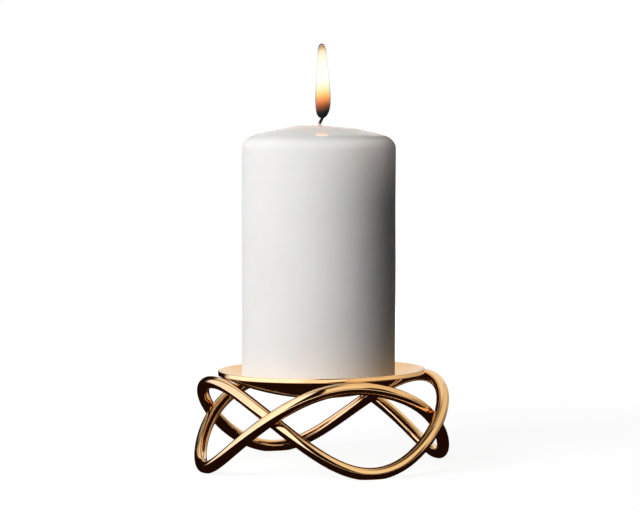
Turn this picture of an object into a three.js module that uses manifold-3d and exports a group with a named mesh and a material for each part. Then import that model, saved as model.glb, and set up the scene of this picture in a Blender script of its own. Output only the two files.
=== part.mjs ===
// Pillar candle holder: a shallow dish carried on two interlaced wave rings, with a lit pillar candle.
// Millimetres, +Z up. The origin is on the table under the middle of the dish, and -Y is the front.

import * as THREE from "three";
import { mergeVertices } from "three/addons/utils/BufferGeometryUtils.js";
import Module from "manifold-3d";

const wasm = await Module();
wasm.setup();

// Dish, spun from sheet into part of a sphere
const RIM_DIAMETER = 94.4;
const DISH_DEPTH = 11.2; // from the edge's top down to the middle of the hollow
const DISH_SHEET = 2;
const RIM_EDGE_BREAK = 0.3; // chamfer on both corners of the cut edge

// Wave rings, bent from round wire: two feet, two crests and four crossings each
const WIRE_DIAMETER = 5.7;
const FOOT_OUTSET = 10; // wire centre outside the rim, at a foot
const FOOT_GRIND = 0.3; // ground off under each foot, so that it stands flat
const CREST_OUTSET = 1.4; // wire centre outside the rim, at a crest
const CREST_HEIGHT = 39.3; // wire centre above the table, at a crest
const CROSSING_OUTSET = 8.2; // wire centre outside the rim at a crossing, halfway between the two rings
const CROSSING_HEIGHT = 25.7;
const WAVE_LEAN = 1.05; // how much later than the middle each wave turns, as a height
const CROSSING_GAP = 0.3;
const SEAT_GAP = 0.3; // between pieces that rest on each other

// Candle
const CANDLE_DIAMETER = 70;
const CANDLE_HEIGHT = 116;
const CANDLE_FOOT_ROUNDING = 1.2;
const SHOULDER_WIDTH = 8.5;
const SHOULDER_DROP = 7.1;
const TOP_SLOPE_DROP = 3.5;
const TOP_FLAT_DIAMETER = 20;
const MELT_POOL_DIAMETER = 16;
const MELT_POOL_DEPTH = 0.6;
const CANDLE_LEAN = 0.84; // degrees, how far the candle stands askew in the round hollow of the dish

// Wick and the tin tab that holds its foot
const WICK_DIAMETER = 1.4;
const WICK_REACH = 3; // above the top of the wax
const WICK_LEAN = 1.8;
const WICK_CLEARANCE = 0.3;
const TAB_DIAMETER = 20;
const TAB_SHEET = 0.5;
const TAB_CLEARANCE = 0.3;
const COLLAR_HEIGHT = 6;
const COLLAR_WALL = 0.5;

// Flame
const FLAME_HEIGHT = 33.9;
const FLAME_WIDTH = 7.1;
const FLAME_BELLY_HEIGHT = 8.2;
const FLAME_FOOT_WIDTH = 6.8; // before the sides round into it
const FLAME_SIDE_HEIGHT = 12.5; // where upright sides from the belly meet straight ones from the neck
const FLAME_NECK_WIDTH = 3.8;
const FLAME_NECK_HEIGHT = 30.8;
const FLAME_TIP_WIDTH = 3; // before the sides round into it
const FLAME_LEAN = -0.7; // how far the tip leans back over the wick's foot
const FLAME_GAP = 0.3; // above the end of the wick
const LEAN_HEADING = -20.7; // degrees from +X, the way that the candle and its wick lean

// Facets
const ROUND_SIDES = 48;
const SMALL_ROUND_SIDES = 16;
const ARC_STEPS = 6;
const WIRE_SIDES = 12;
const RING_STEPS = 96;
const SEAT_SAMPLES = 720;

const GOLD = new THREE.MeshStandardMaterial({ color: 0xe2b36c, roughness: 0.12, metalness: 1 });
const WAX = new THREE.MeshStandardMaterial({ color: 0xf0eeea, roughness: 0.5, metalness: 0 });
const CHARRED_COTTON = new THREE.MeshStandardMaterial({ color: 0x2b2522, roughness: 0.9, metalness: 0 });
const TIN = new THREE.MeshStandardMaterial({ color: 0xb9bcc0, roughness: 0.35, metalness: 1 });
const FIRE = new THREE.MeshStandardMaterial({
  color: 0xffd28a,
  emissive: 0xffb04a,
  roughness: 1,
  metalness: 0,
});

const rimRadius = RIM_DIAMETER / 2;
const wireRadius = WIRE_DIAMETER / 2;
const candleRadius = CANDLE_DIAMETER / 2;
const wickRadius = WICK_DIAMETER / 2;
const leanHeading = THREE.MathUtils.degToRad(LEAN_HEADING);

// The dish's inner and outer faces are spheres about one centre, here above the plane of the rim's top.
const innerSphere = (rimRadius ** 2 + DISH_DEPTH ** 2) / (2 * DISH_DEPTH);
const outerSphere = innerSphere + DISH_SHEET;
const sphereCentre = innerSphere - DISH_DEPTH;
const rimLowerCorner = sphereCentre - Math.sqrt(outerSphere ** 2 - rimRadius ** 2);

// A wave with two feet and two crests in one turn, given by its values at a foot, a crest and a crossing.
function doubleWave(foot, crest, crossing) {
  const mean = (foot + crest + 2 * crossing) / 4;
  const swing = (foot - crest) / 2;
  const fullness = (foot + crest - 2 * crossing) / 4;
  const at = (angle) => mean + swing * Math.cos(2 * angle) + fullness * Math.cos(4 * angle);
  return { swing, at };
}

const radiusWave = doubleWave(
  rimRadius + FOOT_OUTSET,
  rimRadius + CREST_OUTSET,
  rimRadius + CROSSING_OUTSET,
);
const heightWave = doubleWave(wireRadius - FOOT_GRIND, CREST_HEIGHT, CROSSING_HEIGHT);

// Both wires slope where they cross, so the step between them along the radius is longer than their distance.
const crossingSlope = Math.hypot(1, radiusWave.swing / heightWave.swing);
const crossingStep = (WIRE_DIAMETER + CROSSING_GAP) * crossingSlope;

// Radius and height of a ring's centre line, at an angle from its front foot. It weaves out, in, out and in.
function ringAt(angle) {
  const radius = radiusWave.at(angle) + (crossingStep / 2) * Math.sin(2 * angle);
  const height = heightWave.at(angle) - WAVE_LEAN * Math.sin(4 * angle);
  return { radius, height };
}

class RingCentreLine extends THREE.Curve {
  getPoint(share, target = new THREE.Vector3()) {
    const angle = 2 * Math.PI * share;
    const { radius, height } = ringAt(angle);
    return target.set(radius * Math.sin(angle), -radius * Math.cos(angle), height);
  }
}

// The height of the rim's top when the dish is set down on the crests.
function seatedRimHeight() {
  const reach = wireRadius + SEAT_GAP;
  let rimHeight = 0;
  for (let sample = 0; sample < SEAT_SAMPLES; sample += 1) {
    const { radius, height } = ringAt((2 * Math.PI * sample) / SEAT_SAMPLES);
    const touchRadius = (radius * outerSphere) / (outerSphere + reach);
    const pastRim = radius - rimRadius;
    if (touchRadius < rimRadius) {
      const centre = height + Math.sqrt((outerSphere + reach) ** 2 - radius ** 2);
      rimHeight = Math.max(rimHeight, centre - sphereCentre);
    } else if (pastRim < reach) {
      const corner = height + Math.sqrt(reach ** 2 - pastRim ** 2);
      rimHeight = Math.max(rimHeight, corner - rimLowerCorner);
    }
  }
  return rimHeight;
}

const rimHeight = seatedRimHeight();

// The candle stands on the rounding at its foot, in the hollow of the dish.
const footReach = innerSphere - SEAT_GAP - CANDLE_FOOT_ROUNDING;
const footCentre = candleRadius - CANDLE_FOOT_ROUNDING;
const footRoundingHeight = rimHeight + sphereCentre - Math.sqrt(footReach ** 2 - footCentre ** 2);
const candleHeight = footRoundingHeight - CANDLE_FOOT_ROUNDING;

// Turns a profile of radius and height about the Z axis.
function turned(profile, sides) {
  const geometry = new THREE.LatheGeometry(profile.getPoints(ARC_STEPS), sides);
  return geometry.rotateX(Math.PI / 2);
}

function solid(geometry) {
  const bare = geometry.clone();
  bare.deleteAttribute("normal");
  bare.deleteAttribute("uv");
  const merged = mergeVertices(bare);
  const mesh = new wasm.Mesh({
    numProp: 3,
    vertProperties: new Float32Array(merged.attributes.position.array),
    triVerts: new Uint32Array(merged.index.array),
  });
  return new wasm.Manifold(mesh);
}

function cutAway(geometry, tool) {
  const mesh = solid(geometry).subtract(solid(tool)).getMesh();
  const result = new THREE.BufferGeometry();
  result.setAttribute("position", new THREE.BufferAttribute(mesh.vertProperties, 3));
  result.setIndex(new THREE.BufferAttribute(mesh.triVerts, 1));
  result.computeVertexNormals();
  return result;
}

// Moves each level of an upright form sideways, the way that the wick leans.
function leaned(geometry, offsetAt) {
  const position = geometry.attributes.position;
  for (let vertex = 0; vertex < position.count; vertex += 1) {
    const offset = offsetAt(position.getZ(vertex));
    position.setX(vertex, position.getX(vertex) + offset * Math.cos(leanHeading));
    position.setY(vertex, position.getY(vertex) + offset * Math.sin(leanHeading));
  }
  geometry.computeVertexNormals();
  return geometry;
}

function piece(name, geometry, material) {
  const mesh = new THREE.Mesh(geometry, material);
  mesh.name = name;
  return mesh;
}

// The dish's heights are measured from the plane of the rim's top.
function candleDish() {
  const breakRadius = rimRadius - RIM_EDGE_BREAK;
  const outerEnd = Math.asin(breakRadius / outerSphere) - Math.PI / 2;
  const innerEnd = Math.asin(breakRadius / innerSphere) - Math.PI / 2;
  const profile = new THREE.Path();
  profile.moveTo(0, sphereCentre - outerSphere);
  profile.absarc(0, sphereCentre, outerSphere, -Math.PI / 2, outerEnd, false);
  profile.lineTo(rimRadius, rimLowerCorner + RIM_EDGE_BREAK);
  profile.lineTo(rimRadius, -RIM_EDGE_BREAK);
  profile.absarc(0, sphereCentre, innerSphere, innerEnd, -Math.PI / 2, true);
  const dish = piece("candle_dish", turned(profile, ROUND_SIDES), GOLD);
  dish.position.z = rimHeight;
  return dish;
}

function waveRing(name, turn) {
  const wire = new THREE.TubeGeometry(new RingCentreLine(), RING_STEPS, wireRadius, WIRE_SIDES, true);
  const width = 2 * (rimRadius + FOOT_OUTSET + WIRE_DIAMETER);
  const grinder = new THREE.BoxGeometry(width, width, WIRE_DIAMETER);
  grinder.translate(0, 0, -wireRadius);
  const ring = piece(name, cutAway(wire, grinder), GOLD);
  ring.rotation.z = turn;
  return ring;
}

// Heights of the candle's own pieces are measured from the foot of the wax.
const boreRadius = wickRadius + WICK_CLEARANCE;
const collarRadius = boreRadius + COLLAR_WALL;
const collarBoreRadius = collarRadius + TAB_CLEARANCE;
const collarBoreTop = COLLAR_HEIGHT + TAB_CLEARANCE;
const tabRecessRadius = TAB_DIAMETER / 2 + TAB_CLEARANCE;
const tabRecessTop = TAB_SHEET + TAB_CLEARANCE;
const shoulderTop = CANDLE_HEIGHT - TOP_SLOPE_DROP;
const wallTop = shoulderTop - SHOULDER_DROP;
const poolFloor = CANDLE_HEIGHT - MELT_POOL_DEPTH;
const wickTop = CANDLE_HEIGHT + WICK_REACH;

function candleWax() {
  const shoulderRadius = candleRadius - SHOULDER_WIDTH;
  const flatRadius = TOP_FLAT_DIAMETER / 2;
  const slope = TOP_SLOPE_DROP / (shoulderRadius - flatRadius);
  const profile = new THREE.Path();
  profile.moveTo(boreRadius, collarBoreTop);
  profile.lineTo(collarBoreRadius, collarBoreTop);
  profile.lineTo(collarBoreRadius, tabRecessTop);
  profile.lineTo(tabRecessRadius, tabRecessTop);
  profile.lineTo(tabRecessRadius, 0);
  profile.lineTo(footCentre, 0);
  profile.absarc(footCentre, CANDLE_FOOT_ROUNDING, CANDLE_FOOT_ROUNDING, -Math.PI / 2, 0, false);
  profile.lineTo(candleRadius, wallTop);
  profile.quadraticCurveTo(
    candleRadius,
    shoulderTop - slope * SHOULDER_WIDTH,
    shoulderRadius,
    shoulderTop,
  );
  profile.lineTo(flatRadius, CANDLE_HEIGHT);
  profile.lineTo(MELT_POOL_DIAMETER / 2, CANDLE_HEIGHT);
  profile.quadraticCurveTo(MELT_POOL_DIAMETER / 4, poolFloor, boreRadius, poolFloor);
  profile.lineTo(boreRadius, collarBoreTop);
  return piece("candle_wax", turned(profile, ROUND_SIDES), WAX);
}

function candleWick() {
  const profile = new THREE.Path();
  profile.moveTo(0, 0);
  profile.lineTo(wickRadius, 0);
  profile.lineTo(wickRadius, CANDLE_HEIGHT);
  profile.lineTo(wickRadius, wickTop);
  profile.lineTo(0, wickTop);
  const bend = (height) => WICK_LEAN * Math.max(0, (height - CANDLE_HEIGHT) / WICK_REACH);
  return piece("candle_wick", leaned(turned(profile, SMALL_ROUND_SIDES), bend), CHARRED_COTTON);
}

function wickSustainer() {
  const profile = new THREE.Path();
  profile.moveTo(boreRadius, 0);
  profile.lineTo(TAB_DIAMETER / 2, 0);
  profile.lineTo(TAB_DIAMETER / 2, TAB_SHEET);
  profile.lineTo(collarRadius, TAB_SHEET);
  profile.lineTo(collarRadius, COLLAR_HEIGHT);
  profile.lineTo(boreRadius, COLLAR_HEIGHT);
  profile.lineTo(boreRadius, 0);
  return piece("wick_sustainer", turned(profile, SMALL_ROUND_SIDES), TIN);
}

// A drop with a round foot, its belly low down, and a narrow neck under a round tip. Its heights start at its
// own foot.
function candleFlame() {
  const belly = FLAME_WIDTH / 2;
  const profile = new THREE.Path();
  profile.moveTo(0, 0);
  profile.quadraticCurveTo(FLAME_FOOT_WIDTH / 2, 0, belly, FLAME_BELLY_HEIGHT);
  profile.quadraticCurveTo(belly, FLAME_SIDE_HEIGHT, FLAME_NECK_WIDTH / 2, FLAME_NECK_HEIGHT);
  profile.quadraticCurveTo(FLAME_TIP_WIDTH / 2, FLAME_HEIGHT, 0, FLAME_HEIGHT);
  const drift = (height) => FLAME_LEAN * (height / FLAME_HEIGHT) ** 2;
  const flame = piece("candle_flame", leaned(turned(profile, SMALL_ROUND_SIDES), drift), FIRE);
  flame.position.set(
    WICK_LEAN * Math.cos(leanHeading),
    WICK_LEAN * Math.sin(leanHeading),
    wickTop + FLAME_GAP,
  );
  return flame;
}

const holder = new THREE.Group();
holder.add(candleDish());
holder.add(waveRing("front_wave_ring", 0));
holder.add(waveRing("side_wave_ring", Math.PI / 2));

// The candle leans about the centre of the hollow's sphere, so that its foot still touches all round.
const hollowCentre = rimHeight + sphereCentre;
const leanAxis = new THREE.Vector3(-Math.sin(leanHeading), Math.cos(leanHeading), 0);

const candle = new THREE.Group();
candle.position.z = candleHeight - hollowCentre;
candle.add(candleWax());
candle.add(candleWick());
candle.add(wickSustainer());
candle.add(candleFlame());

const leaningCandle = new THREE.Group();
leaningCandle.position.z = hollowCentre;
leaningCandle.quaternion.setFromAxisAngle(leanAxis, THREE.MathUtils.degToRad(CANDLE_LEAN));
leaningCandle.add(candle);

const candleHolder = new THREE.Group();
candleHolder.add(holder);
candleHolder.add(leaningCandle);

export default candleHolder;
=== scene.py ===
"""Looks of a pillar candle holder: polished gold dish and wave rings, wax candle, wick and flame.

Lengths are metres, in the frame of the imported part: +Z up, the table at zero and the front along -Y.
"""

import math

import bpy
import numpy as np
from bpy.props import FloatProperty, FloatVectorProperty, PointerProperty
from bpy.types import Operator, Panel, PropertyGroup
from mathutils import Euler, Matrix, Vector


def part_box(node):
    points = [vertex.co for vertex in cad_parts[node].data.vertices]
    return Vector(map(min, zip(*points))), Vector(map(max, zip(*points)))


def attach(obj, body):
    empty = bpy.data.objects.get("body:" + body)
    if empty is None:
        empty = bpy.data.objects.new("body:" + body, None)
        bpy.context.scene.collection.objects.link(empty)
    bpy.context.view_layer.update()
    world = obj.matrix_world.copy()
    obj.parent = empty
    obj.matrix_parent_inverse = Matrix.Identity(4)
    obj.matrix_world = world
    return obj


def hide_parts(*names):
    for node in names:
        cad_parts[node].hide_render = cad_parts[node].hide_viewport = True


bl_info = {
    "name": "Pillar Candle Holder",
    "version": (1, 0, 0),
    "blender": (4, 5, 0),
    "location": "3D View > Sidebar > Candle Holder",
    "description": "Builds the looks of a gold candle holder and its lit pillar candle",
    "category": "Object",
}

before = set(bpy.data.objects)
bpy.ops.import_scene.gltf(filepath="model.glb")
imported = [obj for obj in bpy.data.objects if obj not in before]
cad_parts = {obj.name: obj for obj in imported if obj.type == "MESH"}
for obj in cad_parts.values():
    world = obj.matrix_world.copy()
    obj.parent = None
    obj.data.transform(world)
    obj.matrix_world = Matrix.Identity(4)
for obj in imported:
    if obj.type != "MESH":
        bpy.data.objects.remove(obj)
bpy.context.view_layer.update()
DISH_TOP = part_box("candle_dish")[1]

FULL_TURN = 2 * math.pi
POINT_GAP = 1e-7  # points nearer to each other than this are one
TAB_ROOM = 0.0003  # between the wick's tab and the wax
FLAME_TILT = 0.18  # how fast the flame's colours sink towards the side that the wick leans to
FLAME_CUT = 0.27  # share of the core's rows that make up its dark foot
RING_MIDDLE = 0.02  # height that the directions of the mirrored studio start from

# The dark round base in the mirrored studio: its middle, to the camera's right and front, and its soft edge
BASE_RIGHT, BASE_FRONT = 0.055, 0.03
BASE_RADIUS, BASE_RIM = 0.215, 0.285

# Each lamp's angle from the camera and above the table in degrees, its distance, width and height
LAMPS = {
    "key": (-37.6, 25.0, 0.9, 0.62, 0.46),
    "fill": (-128.0, 20.0, 1.0, 0.7, 0.7),
    "back": (182.0, 8.0, 1.0, 0.5, 0.3),
}
LAMP_AIM = Vector((0.0, 0.0, 0.09))


def length(name, description, default):
    return FloatProperty(name=name, description=description, default=default, precision=5, unit="LENGTH")


def angle(name, description, degrees):
    return FloatProperty(name=name, description=description, default=math.radians(degrees), subtype="ANGLE")


def share(name, description, default):
    return FloatProperty(
        name=name, description=description, default=default, min=0.0, max=1.0, subtype="FACTOR"
    )


def level(name, description, default):
    return FloatProperty(name=name, description=description, default=default, min=0.0)


def power(name, description, default):
    return FloatProperty(name=name, description=description, default=default, min=0.0, unit="POWER")


def colour(name, description, default):
    return FloatVectorProperty(
        name=name, description=description, default=default, size=3, min=0.0, max=1.0, subtype="COLOR"
    )


class HolderSizes(PropertyGroup):
    """Sizes of the dish and the two wave rings."""

    rim_diameter: length("Rim diameter", "Width of the dish over its edge", 2 * DISH_TOP.x)
    rim_height: length("Rim height", "Top of the dish's edge above the table", DISH_TOP.z)
    dish_depth: length("Dish depth", "From the edge's top down to the middle of the hollow", 0.0112)
    dish_sheet: length("Dish sheet", "Thickness of the dish's metal", 0.002)
    rim_rounding: length("Rim rounding", "Radius on both corners of the dish's edge", 0.00035)
    wire_diameter: length("Wire diameter", "Thickness of the ring wire", 0.0057)
    foot_outset: length("Foot outset", "Wire centre outside the rim at a foot", 0.010)
    crest_outset: length("Crest outset", "Wire centre outside the rim at a crest", 0.0014)
    crossing_outset: length("Crossing outset", "Middle of two crossing wires outside the rim", 0.0082)
    foot_height: length("Foot height", "Wire centre above the table at a foot", 0.00255)
    crest_height: length("Crest height", "Wire centre above the table at a crest", 0.0393)
    crossing_height: length("Crossing height", "Wire centre above the table at a crossing", 0.0257)
    wave_lean: length("Wave lean", "How much later than the middle each wave turns, as a height", 0.00105)
    crossing_gap: length("Crossing gap", "Between two wires that cross", 0.0003)


class CandleSizes(PropertyGroup):
    """Sizes of the wax, the wick with its tab, and the flame."""

    foot_height: length("Foot height", "Underside of the candle above the table, before it leans", 0.039135)
    lean: angle("Lean", "How far the candle stands askew in the round hollow of the dish", 0.84)
    lean_centre: length("Lean centre", "Centre of the hollow's sphere above the table", 0.138221)
    diameter: length("Diameter", "Width of the candle", 0.070)
    height: length("Height", "From the candle's underside to its flat top", 0.116)
    foot_rounding: length("Foot rounding", "Radius round the candle's underside", 0.0012)
    shoulder_width: length("Shoulder width", "Width of the rounded shoulder", 0.0085)
    shoulder_drop: length("Shoulder drop", "Height of the rounded shoulder", 0.0071)
    slope_drop: length("Slope drop", "Height of the sloping top", 0.0035)
    flat_diameter: length("Flat diameter", "Width of the flat round the wick", 0.020)
    pool_diameter: length("Melt pool diameter", "Width of the hollow that the flame has melted", 0.016)
    pool_depth: length("Melt pool depth", "Depth of that hollow", 0.0006)
    top_sag: length("Top sag", "How far the top has melted down on the side that the wick leans to", 0.00065)
    wall_ripple: length("Wall ripple", "How far the cast wall swells and sinks", 0.00005)
    wick_diameter: length("Wick diameter", "Thickness of the wick", 0.0014)
    wick_reach: length("Wick reach", "Wick above the top of the wax", 0.003)
    wick_lean: length("Wick lean", "How far the wick carries the flame aside", 0.0018)
    braid_pitch: length("Braid pitch", "Height of one turn of the wick's strands", 0.0026)
    char_start: length("Char start", "Lowest burnt cotton above the top of the wax", 0.0005)
    char_end: length("Char end", "Lowest level above the wax that is burnt black", 0.0013)
    lean_heading: angle("Lean heading", "Way that the candle and its wick lean, from +X", -20.7)
    tab_diameter: length("Tab diameter", "Width of the tin tab under the wick", 0.020)
    tab_sheet: length("Tab sheet", "Thickness of the tab", 0.0005)
    collar_diameter: length("Collar diameter", "Width of the tab's crimped collar", 0.003)
    collar_height: length("Collar height", "Top of the collar above the candle's foot", 0.006)
    flame_foot: length("Flame foot", "Lowest point of the flame above the table", 0.158435)
    flame_height: length("Flame height", "From the flame's foot to its tip", 0.0339)
    flame_width: length("Flame width", "Width of the flame's belly", 0.0071)
    belly_height: length("Belly height", "Widest level of the flame above its foot", 0.0082)
    flame_foot_width: length("Flame foot width", "Fullness of the flame below its belly", 0.0068)
    flame_side_height: length("Flame side height", "Level above its foot that its sides bend at", 0.0125)
    flame_neck_width: length("Flame neck width", "Width of the flame under its tip", 0.0038)
    flame_neck_height: length("Flame neck height", "Level of that neck above its foot", 0.0308)
    flame_tip_width: length("Flame tip width", "Fullness of the flame's tip", 0.0030)
    flame_lean: length("Flame lean", "How far its tip leans back over the wick's foot", 0.0007)
    flame_foot_lean: length("Flame foot lean", "How much less its foot and the wick's end lean", 0.0005)
    mantle_thickness: length("Mantle thickness", "Smoky skin round the flame's glowing core", 0.00026)
    tip_thickness: length("Tip thickness", "The same at the flame's tip and belly", 0.0005)


class Finishes(PropertyGroup):
    """Colours and gloss of the metal, the wax, the wick and the flame."""

    gold: colour("Gold", "Polished gold where it is brightest", (0.93, 0.625, 0.34))
    gold_deep: colour("Deep gold", "Polished gold where the plating is redder", (0.90, 0.575, 0.29))
    gold_roughness: share("Gold roughness", "Blur of the polished metal's reflections", 0.075)
    dish_roughness: share("Dish roughness", "Blur of the reflections inside the dish", 0.16)
    wax: colour("Wax", "Cast wax", (0.875, 0.87, 0.86))
    wax_cloud: colour("Wax cloud", "Cloudier patches of the wax", (0.85, 0.84, 0.825))
    # Painted warm tint: the wax's colour by the wick, painted pinker for the flame's light on it
    painted_warm_wax: colour("Warm wax", "Wax that the flame shines through", (0.83, 0.69, 0.63))
    # Painted glow: light painted as emission on the candle's upper end, in place of the flame's light through
    # the wax
    side_glow_paint: colour("Wax glow", "Flame's light that comes out of the candle's upper end", (0.32, 0.28, 0.25))
    side_glow_paint_depth: length("Wax glow depth", "How far down the candle that light comes out", 0.042)
    # Painted glow: pink light painted as emission on the top round the wick, in place of the flame's light
    top_glow_paint: colour("Top glow", "Flame's light that comes out of the wax by the wick", (0.27, 0.105, 0.075))
    top_glow_paint_reach: length("Top glow reach", "How far from the wick that light comes out", 0.021)
    wax_roughness: share("Wax roughness", "Blur of the wax's sheen", 0.72)
    top_roughness: share("Top roughness", "Blur of the sheen on the candle's molten top", 0.26)
    wax_depth: length("Wax depth", "How far light spreads inside the wax", 0.0025)
    film_roughness: share("Film roughness", "Blur of the film of molten wax on the candle's top", 0.15)
    cotton: colour("Cotton", "Waxed cotton near the candle", (0.80, 0.66, 0.54))
    char: colour("Char", "Burnt cotton", (0.006, 0.005, 0.0045))
    tin: colour("Tin", "Tin of the wick's tab", (0.70, 0.70, 0.71))
    smoke: colour("Smoke", "Smoky skin of the flame", (0.15, 0.065, 0.036))
    soot: colour("Soot", "The same at the flame's foot", (0.016, 0.016, 0.016))
    glow: level("Glow", "Strength of the flame's light where it is brightest", 2.0)
    mirror_glow: level("Mirror glow", "The same in mirror images, which don't cut it off at white", 5.5)


class Studio(PropertyGroup):
    """Camera, lamps, background and the light tent that the metal mirrors."""

    camera_heading: angle("Camera heading", "Way to the camera, from the front", -20.32)
    camera_distance: length("Camera distance", "From the candle's axis", 1.248)
    camera_height: length("Camera height", "Above the table", 0.1623)
    camera_tilt: angle("Camera tilt", "How far the camera looks down", 3.056)
    camera_roll: angle("Camera roll", "How far the camera is turned about its line of sight", -0.67)
    focal_width: level("Focal width", "Focal length in widths of the picture", 4.2828125)
    key_power: power("Key power", "Light of the lamp at the front left", 7.9)
    fill_power: power("Fill power", "Light of the lamp at the back left", 3.0)
    back_power: power("Back power", "Light of the lamp at the back", 3.0)
    ambient: level("Ambient", "Light from all round on matt surfaces", 0.036)
    background: level("Background", "Brightness of the backdrop, where one is white", 1.0)
    floor_glow: level("Floor glow", "The same on the floor by the holder, without the lamps", 0.90)
    floor: colour("Floor", "Floor under the lamps", (0.18, 0.18, 0.18))
    tent_left: level("Tent left", "Brightness of the tent's left panel in the metal", 1.84)
    tent_right: level("Tent right", "Brightness of its right front panel", 1.0)
    tent_side: level("Tent side", "Brightness of its right side", 0.88)
    tent_back: level("Tent back", "Brightness of its back", 0.95)
    tent_strip: level("Tent strip", "Brightness of the strip at the back left", 0.6)
    tent_roof: level("Tent roof", "Brightness of its roof", 0.35)
    tent_table: level("Tent table", "Brightness of the table in front of the base", 1.25)
    tent_dark: colour("Tent dark", "Light of the dark gaps between the panels", (0.013, 0.0048, 0.002))
    tent_cool: colour("Cool cloth", "Tint of the left panel and the table under it", (0.87, 0.88, 1.0))
    tent_pale: colour("Pale cloth", "Tint of the back and the table in front", (1.0, 0.96, 0.89))
    tent_warm: colour("Warm cloth", "Tint of the right front panel, strip and roof", (1.0, 0.93, 0.74))
    tent_amber: colour("Amber cloth", "Tint of the right side and the table under it", (1.0, 0.88, 0.66))


def loop_surface(name, points, joined, span=(1.0, 1.0)):
    """Mesh through a grid of points whose rows are closed loops.

    Where joined is true the last row meets the first, or repeats it and is left out. Otherwise a fan to its
    middle closes each end. The UV map runs from zero to span along the rows and round them. Faces are turned
    to enclose a positive volume, the sum of the signed pyramids from the origin to each face.
    """
    if joined and np.allclose(points[0], points[-1], rtol=0, atol=POINT_GAP):
        points = points[:-1]
    rows, columns = points.shape[:2]
    strips = rows if joined else rows - 1
    row, column = np.meshgrid(np.arange(strips), np.arange(columns), indexing="ij")
    corner_row = np.stack([row, row + 1, row + 1, row], axis=-1).reshape(-1, 4)
    corner_column = np.stack([column, column, column + 1, column + 1], axis=-1).reshape(-1, 4)
    quads = (corner_row % rows) * columns + corner_column % columns
    quad_places = np.stack([corner_row / strips, corner_column / columns], axis=-1)
    vertices = points.reshape(-1, 3)
    fans = np.empty((0, 3), dtype=int)
    fan_places = np.empty((0, 3, 2))
    if not joined:
        here = np.arange(columns)
        after = (here + 1) % columns
        far = (rows - 1) * columns
        first_middle = np.full(columns, len(vertices))
        last_middle = first_middle + 1
        first_fan = np.stack([first_middle, here, after], axis=-1)
        last_fan = np.stack([last_middle, far + after, far + here], axis=-1)
        fans = np.vstack([first_fan, last_fan])
        round_share = np.stack([here + 0.5, here, here + 1], axis=-1) / columns
        first_places = np.stack([np.zeros_like(round_share), round_share], axis=-1)
        last_places = np.stack([np.ones_like(round_share), round_share[:, [0, 2, 1]]], axis=-1)
        fan_places = np.vstack([first_places, last_places])
        vertices = np.vstack([vertices, points[0].mean(axis=0), points[-1].mean(axis=0)])

    triangles = np.vstack([quads[:, :3], quads[:, [0, 2, 3]], fans])
    first, second, third = (vertices[triangles[:, corner]] for corner in range(3))
    if np.sum(first * np.cross(second, third)) < 0:
        quads, quad_places = quads[:, ::-1], quad_places[:, ::-1]
        fans, fan_places = fans[:, ::-1], fan_places[:, ::-1]

    corners = np.concatenate([quads.ravel(), fans.ravel()])
    face_sizes = np.concatenate([np.full(len(quads), 4), np.full(len(fans), 3)])
    places = np.vstack([quad_places.reshape(-1, 2), fan_places.reshape(-1, 2)]) * span
    mesh = bpy.data.meshes.new(name)
    mesh.vertices.add(len(vertices))
    mesh.vertices.foreach_set("co", vertices.astype(np.float32).ravel())
    mesh.loops.add(len(corners))
    mesh.loops.foreach_set("vertex_index", corners.astype(np.int32))
    mesh.polygons.add(len(face_sizes))
    mesh.polygons.foreach_set("loop_start", (np.cumsum(face_sizes) - face_sizes).astype(np.int32))
    mesh.polygons.foreach_set("use_smooth", np.ones(len(face_sizes), dtype=bool))
    uv_map = mesh.uv_layers.new(name="surface")
    uv_map.data.foreach_set("uv", places.astype(np.float32).ravel())
    mesh.update(calc_edges=True)
    if mesh.validate():
        raise RuntimeError(f"the mesh {name} has faces that can't be kept")
    return mesh


def turned(profile, columns):
    """Points of a profile of radius and height turned about the Z axis, one row for each profile point."""
    turn = np.linspace(0, FULL_TURN, columns, endpoint=False)
    radius, height = profile[:, :1], profile[:, 1:]
    return np.stack(np.broadcast_arrays(radius * np.cos(turn), radius * np.sin(turn), height), axis=-1)


def arc(centre, radius, start, end, steps):
    """Radius and height of points on a circle round a centre, between two angles from the radius axis."""
    swing = np.linspace(start, end, steps)
    return np.column_stack([centre[0] + radius * np.cos(swing), centre[1] + radius * np.sin(swing)])


def line(start, end, steps):
    """Evenly spaced points of a straight line."""
    return np.linspace(start, end, steps)


def bent_line(start, pull, end, steps):
    """Quadratic curve from start to end that leaves and arrives heading for the point pull."""
    step = np.linspace(0, 1, steps)[:, None]
    start, pull, end = (np.array(point) for point in (start, pull, end))
    return (1 - step) ** 2 * start + 2 * step * (1 - step) * pull + step**2 * end


def joined_profile(*runs):
    """One profile from several runs, without the points that repeat where they meet."""
    points = np.vstack(runs)
    moves = np.linalg.norm(np.diff(points, axis=0), axis=1)
    return points[np.concatenate([[True], moves > POINT_GAP])]


def smooth_step(value, start, end):
    """Rises from zero at start to one at end, level at both."""
    rise = np.clip((value - start) / (end - start), 0, 1)
    return rise * rise * (3 - 2 * rise)


def window(value, low, high, edge):
    """One between two limits and zero outside them, with soft edges of that width."""
    opening = smooth_step(value, low - edge / 2, low + edge / 2)
    return opening * smooth_step(-value, -high - edge / 2, -high + edge / 2)


def add_piece(name, mesh, material, body, node):
    """A new piece of the object that rides a body and stands for a node of the CAD model."""
    piece = bpy.data.objects.new(name, mesh)
    bpy.context.scene.collection.objects.link(piece)
    mesh.materials.append(material)
    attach(piece, body)
    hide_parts(node)
    return piece


def add_node(tree, kind, inputs=None, **settings):
    """A new shader node with its settings. Inputs take values, or the outputs of other nodes."""
    made = tree.nodes.new(kind)
    for name, value in settings.items():
        setattr(made, name, value)
    for name, value in (inputs or {}).items():
        if isinstance(value, bpy.types.NodeSocket):
            tree.links.new(value, made.inputs[name])
        else:
            made.inputs[name].default_value = value
    return made


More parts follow.
